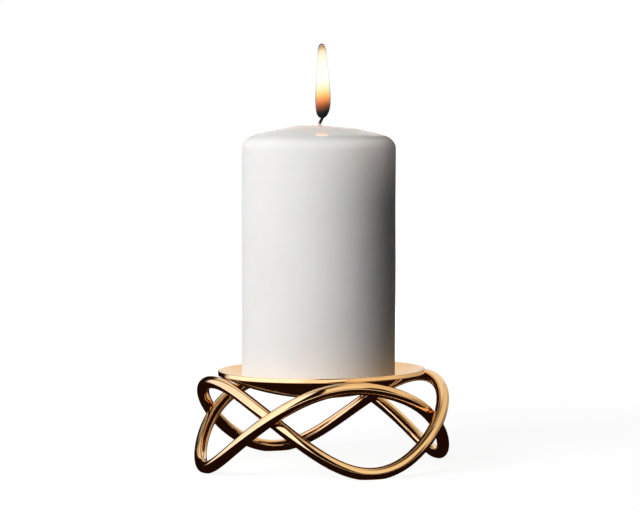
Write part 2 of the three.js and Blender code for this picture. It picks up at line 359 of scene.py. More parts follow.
def new_material(name):
    """An empty node material, its tree and the node that takes its surface."""
    material = bpy.data.materials.new(name)
    material.use_nodes = True
    tree = material.node_tree
    tree.nodes.clear()
    return material, tree, add_node(tree, "ShaderNodeOutputMaterial")


def opaque(values):
    return (*values, 1.0)


def object_place(tree):
    return add_node(tree, "ShaderNodeTexCoord").outputs["Object"]


def noise(tree, vector, scale, detail=3.0, roughness=0.5):
    made = add_node(
        tree,
        "ShaderNodeTexNoise",
        {"Vector": vector, "Scale": scale, "Detail": detail, "Roughness": roughness},
    )
    return made.outputs["Fac"]


def mapped(tree, value, from_range, to_range, smooth=False):
    """A value carried from one range to another, and held inside it."""
    made = add_node(
        tree,
        "ShaderNodeMapRange",
        {
            "Value": value,
            "From Min": from_range[0],
            "From Max": from_range[1],
            "To Min": to_range[0],
            "To Max": to_range[1],
        },
        interpolation_type="SMOOTHSTEP" if smooth else "LINEAR",
    )
    return made.outputs["Result"]


def mixed(tree, factor, first, second):
    """Colour between two others. Each is a colour or the output of a node."""
    made = add_node(tree, "ShaderNodeMix", {"Factor": factor}, data_type="RGBA")
    for socket, value in ((made.inputs[6], first), (made.inputs[7], second)):
        if isinstance(value, bpy.types.NodeSocket):
            tree.links.new(value, socket)
        else:
            socket.default_value = opaque(value)
    return made.outputs[2]


def calculated(tree, operation, first, second):
    """Product, sum or power of two numbers, or the larger one."""
    made = add_node(tree, "ShaderNodeMath", {0: first, 1: second}, operation=operation)
    return made.outputs["Value"]


def measured(tree, operation, first, second=(0.0, 0.0, 0.0)):
    """Length of a vector, its distance from another or their product."""
    made = add_node(tree, "ShaderNodeVectorMath", {0: first, 1: second}, operation=operation)
    return made.outputs["Value"]


def height_of(tree, vector):
    return add_node(tree, "ShaderNodeSeparateXYZ", {"Vector": vector}).outputs["Z"]


def facing_up(tree):
    return height_of(tree, add_node(tree, "ShaderNodeTexCoord").outputs["Normal"])


def colour_ramp(tree, factor, stops):
    """Colour by a factor, through stops of position and colour in rising order."""
    made = add_node(tree, "ShaderNodeValToRGB", {"Fac": factor})
    elements = made.color_ramp.elements
    elements[0].position, elements[1].position = stops[0][0], stops[-1][0]
    elements[0].color, elements[1].color = opaque(stops[0][1]), opaque(stops[-1][1])
    for position, value in stops[1:-1]:
        elements.new(position).color = opaque(value)
    return made.outputs["Color"]


def bump(tree, height, strength, distance):
    made = add_node(tree, "ShaderNodeBump", {"Height": height, "Strength": strength, "Distance": distance})
    return made.outputs["Normal"]


def add_shader(tree, output, inputs):
    """A Principled shader with these inputs, as the material's surface."""
    shader = add_node(tree, "ShaderNodeBsdfPrincipled", inputs)
    tree.links.new(shader.outputs["BSDF"], output.inputs["Surface"])


def gold_finish(name, finishes, blur, marks):
    """Polished gold with a tint and gloss that drift over the surface.

    Blur gives the roughness of its polish, and marks the height of its polish marks.
    """
    material, tree, output = new_material(name)
    place = object_place(tree)
    drift = mapped(tree, noise(tree, place, 45.0), (0.35, 0.65), (0, 1))
    handling = noise(tree, place, 140.0, detail=5.0, roughness=0.62)
    wear = mapped(tree, handling, (0.3, 0.75), (0.85, 1.3))
    add_shader(
        tree,
        output,
        {
            "Base Color": mixed(tree, drift, finishes.gold, finishes.gold_deep),
            "Metallic": 1.0,
            "Roughness": calculated(tree, "MULTIPLY", wear, blur(tree, finishes)),
            "Normal": bump(tree, marks(tree, place), 0.006, 0.00005),
        },
    )
    return material


def even_blur(tree, finishes):
    """The roughness of the polish, the same all over."""
    return finishes.gold_roughness


def satin_blur(tree, finishes):
    """The same on the edge and the underside, and satin where the metal faces up."""
    blurs = (finishes.gold_roughness, finishes.dish_roughness)
    return mapped(tree, facing_up(tree), (0.3, 0.8), blurs, smooth=True)


def drawn_marks(tree, place):
    """Fine lines along a wire, from noise that is stretched along its UV map."""
    along = add_node(tree, "ShaderNodeUVMap", uv_map="surface").outputs["UV"]
    stretched = add_node(tree, "ShaderNodeMapping", {"Vector": along, "Scale": (60.0, 5000.0, 1.0)})
    return noise(tree, stretched.outputs["Vector"], 1.0, detail=4.0)


def spun_marks(tree, place):
    """Fine rings round the axis, from noise of the distance to it."""
    flat = add_node(tree, "ShaderNodeVectorMath", {0: place, 1: (1.0, 1.0, 0.0)}, operation="MULTIPLY")
    reach = measured(tree, "LENGTH", flat.outputs["Vector"])
    rings = add_node(tree, "ShaderNodeCombineXYZ", {"X": reach})
    return noise(tree, rings.outputs["Vector"], 3500.0, detail=3.0)


def lean_way(sizes):
    """Level direction that the candle and its wick lean."""
    return Vector((math.cos(sizes.lean_heading), math.sin(sizes.lean_heading), 0.0))


def wax_finish(finishes, sizes):
    """Cast wax that light spreads in: cloudy patches, a fine pitted skin and a film of melt on the top.

    Painted glow stands in for the flame's light: emission is painted on the top by the wick, and on the
    wall's upper end on the side that the wick leans to. The colour is painted warmer by the wick for the same
    light.
    """
    material, tree, output = new_material("cast_wax")
    place = object_place(tree)
    top = sizes.foot_height + sizes.height
    radius = sizes.diameter / 2
    from_wick = measured(tree, "DISTANCE", place, (0.0, 0.0, top))
    cloud = mapped(tree, noise(tree, place, 32.0, detail=4.0), (0.4, 0.7), (0, 1))
    body = mixed(tree, cloud, finishes.wax, finishes.wax_cloud)
    # Painted warm tint for the flame's light, strongest by the wick
    painted_warmth = mapped(tree, from_wick, (0.004, 0.030), (0.85, 0.0), smooth=True)

    upward = facing_up(tree)
    on_wall = mapped(tree, upward, (0.6, 0.98), (1.0, 0.15), smooth=True)
    # Painted glow on the wall's upper end, strongest on the side that the wick leans to
    climb = mapped(tree, height_of(tree, place), (top - finishes.side_glow_paint_depth, top), (0, 1))
    shining = calculated(tree, "MULTIPLY", calculated(tree, "POWER", climb, 2.0), on_wall)
    to_side = measured(tree, "DOT_PRODUCT", place, lean_way(sizes))
    toward = mapped(tree, to_side, (-0.4 * radius, 0.8 * radius), (0.0, 1.0), smooth=True)
    at_edge = mapped(tree, to_side, (0.8 * radius, radius), (1.0, 0.4))
    by_side = calculated(tree, "MULTIPLY", toward, at_edge)
    painted_wall_glow = calculated(tree, "MULTIPLY", shining, by_side)
    # Painted glow on the top round the wick
    painted_glow_by_wick = mapped(tree, from_wick, (0.007, finishes.top_glow_paint_reach), (1.0, 0.0), smooth=True)

    blurs = (finishes.top_roughness, finishes.wax_roughness)
    skin = noise(tree, place, 420.0, detail=4.0, roughness=0.6)
    add_shader(
        tree,
        output,
        {
            "Base Color": mixed(tree, painted_warmth, body, finishes.painted_warm_wax),
            "Roughness": mapped(tree, from_wick, (0.020, 0.034), blurs, smooth=True),
            "IOR": 1.44,
            "Specular IOR Level": 0.0,
            "Subsurface Weight": 0.5,
            "Subsurface Radius": (1.0, 0.72, 0.52),
            "Subsurface Scale": finishes.wax_depth,
            "Coat Weight": mapped(tree, upward, (0.90, 0.95), (0.0, 1.0), smooth=True),
            "Coat Roughness": finishes.film_roughness,
            "Coat IOR": 1.44,
            # Painted glow: emission by the wick and on the wall's upper end, in place of the flame's light
            "Emission Color": mixed(tree, painted_glow_by_wick, finishes.side_glow_paint, finishes.top_glow_paint),
            "Emission Strength": calculated(tree, "MAXIMUM", painted_wall_glow, painted_glow_by_wick),
            "Normal": bump(tree, skin, 0.06, 0.0001),
        },
    )
    return material


def wick_finish(finishes, sizes):
    """Cotton soaked with wax by the candle and burnt black above it, with a ragged edge between."""
    material, tree, output = new_material("burnt_cotton")
    place = object_place(tree)
    fibre = noise(tree, place, 2600.0, detail=4.0, roughness=0.6)
    ragged = mapped(tree, fibre, (0.3, 0.7), (-0.0005, 0.0005))
    raised = calculated(tree, "ADD", height_of(tree, place), ragged)
    top = sizes.foot_height + sizes.height
    burnt = mapped(tree, raised, (top + sizes.char_start, top + sizes.char_end), (0, 1), smooth=True)
    add_shader(
        tree,
        output,
        {
            "Base Color": mixed(tree, burnt, finishes.cotton, finishes.char),
            "Roughness": mapped(tree, burnt, (0, 1), (0.45, 0.95)),
            "Normal": bump(tree, fibre, 0.5, 0.0001),
        },
    )
    return material


def tin_finish(finishes):
    """Stamped tin with fine scratches and dull patches."""
    material, tree, output = new_material("stamped_tin")
    place = object_place(tree)
    dull = noise(tree, place, 380.0, detail=5.0, roughness=0.6)
    tone = mapped(tree, dull, (0.3, 0.7), (0, 1))
    darker = tuple(0.82 * channel for channel in finishes.tin)
    add_shader(
        tree,
        output,
        {
            "Base Color": mixed(tree, tone, finishes.tin, darker),
            "Metallic": 1.0,
            "Roughness": mapped(tree, dull, (0.3, 0.7), (0.28, 0.45)),
            "Normal": bump(tree, dull, 0.15, 0.0001),
        },
    )
    return material


def flame_level(tree, sizes):
    """Height in the flame from zero at its foot to one at its tip, less on the side of the wick's lean."""
    climb = Vector((0.0, 0.0, 1.0)) - FLAME_TILT * lean_way(sizes)
    along = measured(tree, "DOT_PRODUCT", object_place(tree), climb)
    foot = sizes.flame_foot - FLAME_TILT * sizes.wick_lean
    return mapped(tree, along, (foot, foot + sizes.flame_height), (0, 1))


# Height in the flame and the light that comes out of its skin there
FLAME_STOPS = (
    (0.00, (0.012, 0.012, 0.012)),
    (0.07, (0.017, 0.016, 0.015)),
    (0.11, (0.061, 0.023, 0.009)),
    (0.15, (0.18, 0.045, 0.015)),
    (0.19, (0.46, 0.12, 0.04)),
    (0.23, (0.82, 0.25, 0.08)),
    (0.27, (0.97, 0.41, 0.13)),
    (0.31, (0.98, 0.61, 0.20)),
    (0.35, (1.0, 0.79, 0.34)),
    (0.39, (1.0, 0.91, 0.53)),
    (0.43, (1.0, 0.97, 0.69)),
    (0.47, (1.0, 0.985, 0.83)),
    (0.51, (1.0, 0.99, 0.93)),
    (0.68, (1.0, 0.99, 0.94)),
    (0.745, (1.0, 0.985, 0.855)),
    (0.785, (1.0, 0.985, 0.77)),
    (0.825, (1.0, 0.97, 0.71)),
    (0.865, (1.0, 0.91, 0.63)),
    (0.905, (0.96, 0.75, 0.44)),
    (0.945, (0.62, 0.36, 0.17)),
    (1.00, (0.36, 0.19, 0.12)),
)
# Height in the flame and how dense its smoky skin is there
SMOKE_STOPS = (
    (0.00, 1.0),
    (0.08, 0.95),
    (0.13, 0.7),
    (0.20, 0.5),
    (0.32, 0.36),
    (0.46, 0.18),
    (0.60, 0.10),
    (0.78, 0.10),
    (0.88, 0.28),
    (0.95, 0.5),
    (1.00, 0.7),
)


def core_finish(finishes, sizes):
    """Glowing gas: dark round the wick, then orange, yellow and white, and dull again at the tip.

    Its light makes up for what the skin before it takes away, and it is stronger in mirror images.
    """
    material, tree, output = new_material("flame_glow")
    mirrored = add_node(tree, "ShaderNodeLightPath").outputs["Is Glossy Ray"]
    levels, densities = zip(*SMOKE_STOPS)
    stops = []
    for position, light in FLAME_STOPS:
        clear = finishes.glow * max(0.1, 1 - np.interp(position, levels, densities))
        stops.append((position, tuple(channel / clear for channel in light)))
    add_shader(
        tree,
        output,
        {
            "Base Color": opaque((0.0, 0.0, 0.0)),
            "Roughness": 1.0,
            "Specular IOR Level": 0.0,
            "Emission Color": colour_ramp(tree, flame_level(tree, sizes), stops),
            "Emission Strength": mapped(tree, mirrored, (0, 1), (finishes.glow, finishes.mirror_glow)),
        },
    )
    return material


def mantle_finish(finishes, sizes):
    """Smoky skin: dense soot at the foot, brown and dense at the tip, and nearly clear between."""
    material, tree, output = new_material("flame_smoke")
    height = flame_level(tree, sizes)
    densities = [(position, (density, density, density)) for position, density in SMOKE_STOPS]
    tints = ((0.0, finishes.soot), (0.09, finishes.soot), (0.15, finishes.smoke), (1.0, finishes.smoke))
    add_shader(
        tree,
        output,
        {
            "Base Color": colour_ramp(tree, height, tints),
            "Roughness": 1.0,
            "Specular IOR Level": 0.0,
            "Alpha": colour_ramp(tree, height, densities),
        },
    )
    return material


def leaned(sizes, points):
    """Points of the upright candle, turned about the centre of the dish's hollow to lean its wick's way."""
    axis = Vector((0.0, 0.0, 1.0)).cross(lean_way(sizes))
    turn = np.array(Matrix.Rotation(sizes.lean, 3, axis))
    centre = np.array([0.0, 0.0, sizes.lean_centre])
    return (points - centre) @ turn.T + centre


def dish_profile(sizes):
    """Radius and height round the dish's section.

    Its faces are arcs of two spheres about one centre, a sheet apart. At the edge a small circle rounds each
    corner: its centre is one rounding inside the edge, and one rounding inside the outer sphere or outside
    the inner one. Both faces stop short of the axis by the radius middle.
    """
    rim = sizes.rim_diameter / 2
    inner = (rim**2 + sizes.dish_depth**2) / (2 * sizes.dish_depth)
    outer = inner + sizes.dish_sheet
    centre = sizes.rim_height + inner - sizes.dish_depth
    rounding = sizes.rim_rounding
    corner = rim - rounding
    low_reach, high_reach = outer - rounding, inner + rounding
    low = (corner, centre - math.sqrt(low_reach**2 - corner**2))
    high = (corner, centre - math.sqrt(high_reach**2 - corner**2))
    low_swing = -math.acos(corner / low_reach)
    high_swing = -math.acos(corner / high_reach)
    middle = 0.0004
    return joined_profile(
        arc((0, centre), outer, -math.acos(middle / outer), low_swing, 96),
        arc(low, rounding, low_swing, 0, 8),
        arc(high, rounding, 0, math.pi + high_swing, 14),
        arc((0, centre), inner, high_swing, -math.acos(middle / inner), 96),
    )


def double_wave(turn, foot, crest, crossing):
    """A wave with two feet and crests in a turn: a mean, a swing twice round and a fullness four times."""
    mean = (foot + crest + 2 * crossing) / 4
    swing = (foot - crest) / 2
    fullness = (foot + crest - 2 * crossing) / 4
    return mean + swing * np.cos(2 * turn) + fullness * np.cos(4 * turn)


def ring_points(sizes, quarter_turns, rows=720, columns=40):
    """Round wire carried along a ring's centre line, flat under the feet where the table cuts it.

    The centre line's radius and height are double waves of the angle from a foot. The radius also weaves out
    and in with the sine of twice the angle, by half the step between two crossing wires, and the height leans
    with the sine of four times the angle. Each cross-section is a circle square to the line.
    """
    turn = np.linspace(0, FULL_TURN, rows, endpoint=False)
    rim = sizes.rim_diameter / 2
    rise = sizes.crest_height - sizes.foot_height
    spread = sizes.foot_outset - sizes.crest_outset
    step = (sizes.wire_diameter + sizes.crossing_gap) * math.hypot(1, spread / rise)
    radius = rim + double_wave(turn, sizes.foot_outset, sizes.crest_outset, sizes.crossing_outset)
    radius += step / 2 * np.sin(2 * turn)
    height = double_wave(turn, sizes.foot_height, sizes.crest_height, sizes.crossing_height)
    height -= sizes.wave_lean * np.sin(4 * turn)
    heading = turn + quarter_turns * math.pi / 2
    outward = np.column_stack([np.sin(heading), -np.cos(heading), np.zeros(rows)])
    centre = outward * radius[:, None]
    centre[:, 2] = height

    ahead = np.roll(centre, -1, axis=0) - np.roll(centre, 1, axis=0)
    ahead /= np.linalg.norm(ahead, axis=1)[:, None]
    across = outward - np.sum(outward * ahead, axis=1)[:, None] * ahead
    across /= np.linalg.norm(across, axis=1)[:, None]
    upright = np.cross(ahead, across)
    swing = np.linspace(0, FULL_TURN, columns, endpoint=False)[None, :, None]
    points = centre[:, None] + sizes.wire_diameter / 2 * (
        across[:, None] * np.cos(swing) + upright[:, None] * np.sin(swing)
    )
    points[..., 2] = np.maximum(points[..., 2], 0)
    run = np.sum(np.linalg.norm(np.diff(centre, axis=0, append=centre[:1]), axis=1))
    return points, run


def wax_profile(sizes, bore):
    """Radius and height round the candle's section, from the bore over the underside, the wall and the top.

    The underside has a recess for the tab. The shoulder is a quadratic curve into the sloping top, and the
    melt pool a shallow bowl that climbs a little at the wick.
    """
    foot = sizes.foot_height
    top = foot + sizes.height
    radius = sizes.diameter / 2
    recess = sizes.tab_diameter / 2 + TAB_ROOM
    recess_roof = foot + sizes.tab_sheet + TAB_ROOM
    collar = sizes.collar_diameter / 2 + TAB_ROOM
    collar_roof = foot + sizes.collar_height + TAB_ROOM
    rounding = sizes.foot_rounding
    shoulder = radius - sizes.shoulder_width
    shoulder_top = top - sizes.slope_drop
    flat = sizes.flat_diameter / 2
    slope = sizes.slope_drop / (shoulder - flat)
    pool = sizes.pool_diameter / 2
    pool_floor = top - sizes.pool_depth
    easing = 0.0012
    eased_flat = flat + easing
    eased_top = top - slope * easing
    climb_foot = (bore + 0.0009, pool_floor)
    climb_top = (bore, pool_floor + 0.0011)
    return joined_profile(
        line((bore, collar_roof), (collar, collar_roof), 3),
        line((collar, collar_roof), (collar, recess_roof), 3),
        line((collar, recess_roof), (recess, recess_roof), 6),
        line((recess, recess_roof), (recess, foot), 3),
        line((recess, foot), (radius - rounding, foot), 16),
        arc((radius - rounding, foot + rounding), rounding, -math.pi / 2, 0, 10),
        line((radius, foot + rounding), (radius, shoulder_top - sizes.shoulder_drop), 60),
        bent_line(
            (radius, shoulder_top - sizes.shoulder_drop),
            (radius, shoulder_top - slope * sizes.shoulder_width),
            (shoulder, shoulder_top),
            28,
        ),
        line((shoulder, shoulder_top), (eased_flat, eased_top), 24),
        bent_line((eased_flat, eased_top), (flat, top), (pool, top), 10),
        bent_line((pool, top), (pool * 0.6, pool_floor), climb_foot, 24),
        bent_line(climb_foot, (bore, pool_floor), climb_top, 8),
        line(climb_top, (bore, collar_roof), 4),
    )


def wax_points(sizes, columns=192):
    """The turned candle with the faint unevenness of a cast one.

    Each point moves along its radius by a few slow waves of height and angle, which fade out at the foot. On
    the top it moves up and down by waves of the angle, which fade out at the wick and the shoulder. Round the
    melt pool it sinks by the cosine of the angle to the wick's lean. The bore is pressed on the wick.
    """
    press = 0.00002
    profile = wax_profile(sizes, sizes.wick_diameter / 2 - press)
    points = turned(profile, columns)
    turn = np.linspace(0, FULL_TURN, columns, endpoint=False)[None, :]
    radius, climb = profile[:, :1], (profile[:, 1:] - sizes.foot_height) / sizes.height
    on_wall = smooth_step(2 * radius / sizes.diameter, 0.9, 1) * smooth_step(climb, 0.02, 0.2)
    swell = np.sin(3 * turn + 7 * climb) + 0.7 * np.sin(5 * turn - 11 * climb + 1.3)
    swell += 0.5 * np.sin(17 * climb + turn)
    points[..., :2] *= 1 + (sizes.wall_ripple * on_wall * swell / np.maximum(radius, 1e-4))[..., None]
    on_top = smooth_step(climb, 0.93, 0.985)
    on_slope = on_top * window(radius, 0.010, 0.030, 0.008)
    waves = np.sin(2 * turn + 0.6) + 0.6 * np.sin(5 * turn + 2.1)
    points[..., 2] += 2 * sizes.wall_ripple * on_slope * waves
    by_pool = on_top * smooth_step(radius, 0.003, 0.009) * smooth_step(-radius, -0.018, -0.010)
    points[..., 2] -= sizes.top_sag * by_pool * np.clip(np.cos(turn - sizes.lean_heading), 0, 1)
    return points


def wick_points(sizes, columns=36):
    """A braided wick through the candle, bent aside above the wax and rounded at its end.

    The radius swells where two sets of strands, one winding each way, lie on each other: by the product of
    the cosines of their winding angles. Inside the candle the strands are pressed flat. The end closes by the
    square root of what is left of the height, inside the flame.
    """
    foot = sizes.foot_height + sizes.tab_sheet
    top = sizes.foot_height + sizes.height
    fine_from = top - 0.003
    in_flame, rounding, swelling = 0.0011, 0.0006, 0.16
    end = top + sizes.wick_reach + in_flame
    rows = [np.linspace(foot, fine_from, 24, endpoint=False), np.linspace(fine_from, end, 150)]
    height = np.concatenate(rows)[:, None]
    turn = np.linspace(0, FULL_TURN, columns, endpoint=False)[None, :]
    winding = FULL_TURN * height / sizes.braid_pitch
    strands = np.cos(2 * turn + winding) * np.cos(2 * turn - winding)
    loose = smooth_step(height, top - 0.0012, top)
    closing = np.sqrt(np.clip((end - height) / rounding, 0.0025, 1))
    radius = sizes.wick_diameter / 2 * (1 + swelling * loose * strands) * closing
    points = np.stack(np.broadcast_arrays(radius * np.cos(turn), radius * np.sin(turn), height), axis=-1)
    bend = np.clip((height - top) / sizes.wick_reach, 0, None)
    aside = (sizes.wick_lean - sizes.flame_foot_lean) * (0.75 * bend + 0.25 * bend**2)
    return points + aside[..., None] * np.array(lean_way(sizes))


def tab_points(sizes, columns=96):
    """The wick's tab: a disc with a stamped bead and a collar that six dents crimp on the wick.

    The section is turned about the axis. The bead is a half wave across the disc, and the collar's radius
    shrinks with the sixth wave of the angle, most at half its height.
    """
    foot = sizes.foot_height
    rim = sizes.tab_diameter / 2
    collar = sizes.collar_diameter / 2
    bore = sizes.wick_diameter / 2 + 0.00015
    low, high = foot + 0.00005, foot + sizes.tab_sheet
    collar_top = foot + sizes.collar_height
    easing, fillet, lip = 0.0002, 0.0004, 0.0001
    bead_height, crimp_depth = 0.00018, 0.09
    profile = joined_profile(
        line((bore, low), (rim - easing, low), 40),
        arc((rim - easing, low + easing), easing, -math.pi / 2, 0, 6),
        arc((rim - easing, high - easing), easing, 0, math.pi / 2, 6),
        line((rim - easing, high), (collar + fillet, high), 40),
        bent_line((collar + fillet, high), (collar, high), (collar, high + fillet), 6),
        line((collar, high + fillet), (collar, collar_top - lip), 24),
        bent_line((collar, collar_top - lip), (collar, collar_top), (collar - lip, collar_top), 4),
        line((collar - lip, collar_top), (bore, collar_top), 4),
        line((bore, collar_top), (bore, low), 24),
    )
    points = turned(profile, columns)
    turn = np.linspace(0, FULL_TURN, columns, endpoint=False)[None, :]
    radius, height = profile[:, :1], profile[:, 1:]
    bead = np.cos(np.clip((radius - 0.62 * rim) / (0.16 * rim), -1, 1) * math.pi / 2) ** 2
    points[..., 2] += bead_height * bead * smooth_step(foot - height, -0.001, -0.0008)
    waist = np.clip((height - high) / (collar_top - high), 0, 1)
    crimp = crimp_depth * np.sin(math.pi * waist) * smooth_step(radius, bore, collar)
    points[..., :2] *= 1 - (crimp * (0.5 + 0.5 * np.cos(6 * turn)))[..., None]
    return points


def flame_points(sizes, drawn_in, columns=64):
    """A drop that leans back towards its tip.

    The section is three quadratic curves: from the foot to the belly, up the sides to the neck, and round the
    tip. It is drawn in along its normals, where drawn_in gives how far for a share of the height, and ends
    just short of the axis. Each level leans back by the square of its share of the height, and below the
    belly it draws back to the wick's end by the square of its share of the way down.
    """
    middle = 0.00008
    belly = (sizes.flame_width / 2, sizes.belly_height)
    neck = (sizes.flame_neck_width / 2, sizes.flame_neck_height)
    high = sizes.flame_height
    profile = joined_profile(
        bent_line((0, 0), (sizes.flame_foot_width / 2, 0), belly, 40),
        bent_line(belly, (sizes.flame_width / 2, sizes.flame_side_height), neck, 60),
        bent_line(neck, (sizes.flame_tip_width / 2, high), (0, high), 40),
    )
    ahead = np.gradient(profile, axis=0)
    ahead /= np.linalg.norm(ahead, axis=1)[:, None]
    inset = drawn_in(profile[:, 1:] / high)
    profile = profile - inset * np.column_stack([ahead[:, 1], -ahead[:, 0]])
    profile = profile[profile[:, 0] > middle]
    points = turned(profile, columns)
    rise = points[..., 2] / high
    below = np.clip(1 - points[..., 2] / sizes.belly_height, 0, 1)
    aside = sizes.wick_lean - sizes.flame_lean * rise**2 - sizes.flame_foot_lean * below**2
    points += aside[..., None] * np.array(lean_way(sizes))
    points[..., 2] += sizes.flame_foot
    return points


def mantle_depth(sizes, rise):
    """Thickness of the flame's skin by the share of its height, thicker at the belly and the tip."""
    ends = np.maximum(smooth_step(rise, 0.80, 0.94), smooth_step(-rise, -0.55, -0.22))
    return sizes.mantle_thickness + (sizes.tip_thickness - sizes.mantle_thickness) * ends


def tent_light(studio, azimuth, elevation, right, front):
    """Colour of the light tent by direction, in degrees from the camera and above the table, and by place.

    A wide panel fills the left, a narrower one stands at the right front, and softer ones at the right and
    the back. The gap between the first two, where the camera looks in, is dark, and so is the round base that
    the holder stands on. Beyond the base the table is about as bright as the panel above it. Each panel is a
    product of soft steps of the angles across its edges, and where panels overlap the brightest counts.
    """
    above = elevation > 0
    from_base = np.hypot(right - BASE_RIGHT, front - BASE_FRONT)
    off_base = (1 - above) * smooth_step(from_base, BASE_RADIUS, BASE_RIM)

    # Left: its edge by the camera leans right higher up, and it is dimmer towards the back
    left_edge = -13 + 8 * smooth_step(elevation, 10, 50)
    left = above * smooth_step(azimuth, -136, -129) * smooth_step(left_edge - azimuth, -3, 3)
    left *= smooth_step(-elevation, -88, -66) * (0.76 + 0.24 * smooth_step(azimuth, -115, -35))

    # Right front: its foot steps up on the far side
    right_foot = 8 + 18 * smooth_step(azimuth, 52, 66)
    front_right = above * window(azimuth, 25, 77, 6) * smooth_step(elevation - right_foot, -5, 5)
    front_right *= smooth_step(-elevation, -74, -52)

    # Right side: its foot is softer towards the back
    rearward = smooth_step(azimuth, 86, 94)
    side_foot = smooth_step(elevation, 2 - 8 * rearward, 7 + 22 * rearward)
    side = above * window(azimuth, 73, 150, 6) * side_foot * smooth_step(-elevation, -86, -62)

    # Back, across the line straight behind, with a bright skyline at its right foot and a strip at its left
    back_edge = -169 + 19 * smooth_step(elevation, 27, 34)
    back = np.maximum(smooth_step(azimuth, 146, 154), smooth_step(back_edge - azimuth, -2, 2))
    back = back * above * smooth_step(elevation, 0, 8) * smooth_step(-elevation, -84, -64)
    skyline = above * window(azimuth, 135, 172, 8) * window(elevation, 0, 5, 3)
    strip = above * window(azimuth, -152, -138, 6)
    strip = strip * smooth_step(elevation, 26, 33) * smooth_step(-elevation, -74, -58)
    roof = window(elevation, 74, 100, 10) * (1 - window(azimuth, -16, 76, 12))

    # Table: its left part reaches further back far out, and its right part is dimmer towards the back
    table_edge = -92 - 32 * smooth_step(np.hypot(right, front), 0.28, 0.40)
    table_left = off_base * smooth_step(azimuth - table_edge, -10, 10) * smooth_step(-azimuth, -8, 30)
    table_front = off_base * window(azimuth, -40, 30, 20)
    table_right = off_base * window(azimuth, 25, 150, 20) * (1 - 0.42 * smooth_step(azimuth, 50, 140))
    panels = (
        (left, studio.tent_left, studio.tent_cool),
        (front_right, studio.tent_right, studio.tent_warm),
        (side, studio.tent_side, studio.tent_amber),
        (back, studio.tent_back, studio.tent_pale),
        (skyline, studio.tent_back, studio.tent_warm),
        (strip, studio.tent_strip, studio.tent_warm),
        (roof, studio.tent_roof, studio.tent_warm),
        (table_left, studio.tent_left, studio.tent_cool),
        (table_front, studio.tent_table, studio.tent_pale),
        (table_right, studio.tent_right, studio.tent_amber),
    )
    lights = [strength * shape[:, None] * np.array(tint) for shape, strength, tint in panels]
    return np.maximum(np.max(lights, axis=0), np.array(studio.tent_dark))


def tent_mesh(studio, radius=1.0, rows=200, columns=360):
    """A dome on a round floor sheet, as closed loops from under the object out to the wall and up to the top.

    The attribute glow holds each point's light, by its direction from the middle of the rings.
    """
    half = rows // 2
    above_floor = 0.0002
    reach = np.concatenate([np.geomspace(0.01, radius, half, endpoint=False), np.full(half, radius)])
    climb = np.concatenate([np.zeros(half), np.linspace(0, 0.499 * math.pi, half)])
    profile = np.column_stack([reach * np.cos(climb), above_floor + reach * np.sin(climb)])
    points = turned(profile, columns)
    mesh = loop_surface("light_tent", points, joined=False)
    flat = np.vstack([points.reshape(-1, 3), points[0].mean(axis=0), points[-1].mean(axis=0)])
    heading = studio.camera_heading
    right = flat[:, 0] * math.cos(heading) + flat[:, 1] * math.sin(heading)
    front = flat[:, 0] * math.sin(heading) - flat[:, 1] * math.cos(heading)
    azimuth = np.degrees(np.arctan2(right, front))
    elevation = np.degrees(np.arctan2(flat[:, 2] - RING_MIDDLE, np.hypot(right, front)))
    light = tent_light(studio, azimuth, elevation, right, front)
    glow = mesh.attributes.new("glow", "FLOAT_COLOR", "POINT")
    glow.data.foreach_set("color", np.column_stack([light, np.ones(len(light))]).astype(np.float32).ravel())
    return mesh


def seen_ray(tree):
    """One for rays that show the background: from the camera, off metal and through glass."""
    path = add_node(tree, "ShaderNodeLightPath").outputs
    first = calculated(tree, "MAXIMUM", path["Is Camera Ray"], path["Is Glossy Ray"])
    return calculated(tree, "MAXIMUM", first, path["Is Transmission Ray"])


def add_stage(name, mesh, material):
    thing = bpy.data.objects.new(name, mesh)
    bpy.context.scene.collection.objects.link(thing)
    mesh.materials.append(material)
    return thing


def floor_material(studio):
    """Pale floor that the lamps light and shade by the holder, as white as the backdrop further out."""
    material, tree, output = new_material("pale_floor")
    reach = measured(tree, "LENGTH", object_place(tree))
    glow = mapped(tree, reach, (0.15, 0.6), (studio.floor_glow, studio.background), smooth=True)
    seen = calculated(tree, "MULTIPLY", glow, seen_ray(tree))
    shine = add_node(tree, "ShaderNodeEmission", {"Strength": seen})
    matt = add_node(tree, "ShaderNodeBsdfDiffuse", {"Color": opaque(studio.floor)})
    both = add_node(tree, "ShaderNodeAddShader")
    tree.links.new(shine.outputs["Emission"], both.inputs[0])
    tree.links.new(matt.outputs["BSDF"], both.inputs[1])
    tree.links.new(both.outputs["Shader"], output.inputs["Surface"])
    return material


def tent_material():
    """Light cloth whose light is the attribute glow."""
    material, tree, output = new_material("tent_cloth")
    glow = add_node(tree, "ShaderNodeAttribute", attribute_name="glow").outputs["Color"]
    shine = add_node(tree, "ShaderNodeEmission", {"Color": glow})
    tree.links.new(shine.outputs["Emission"], output.inputs["Surface"])
    return material


def add_lamp(name, watts, camera_heading, azimuth, elevation, distance, width, height):
    """A soft square lamp at an angle from the camera, aimed at the middle of the candle.

    Only matt surfaces take its light: the metal mirrors the tent instead.
    """
    heading = camera_heading + math.radians(azimuth)
    climb = math.radians(elevation)
    level_reach = math.cos(climb)
    away = Vector((math.sin(heading) * level_reach, -math.cos(heading) * level_reach, math.sin(climb)))
    data = bpy.data.lights.new(name, "AREA")
    data.shape = "RECTANGLE"
    data.size, data.size_y = width, height
    data.energy = watts
    lamp = bpy.data.objects.new(name, data)
    lamp.matrix_world = Matrix.LocRotScale(LAMP_AIM + distance * away, away.to_track_quat("Z", "Y"), None)
    lamp.visible_glossy = False
    bpy.context.scene.collection.objects.link(lamp)


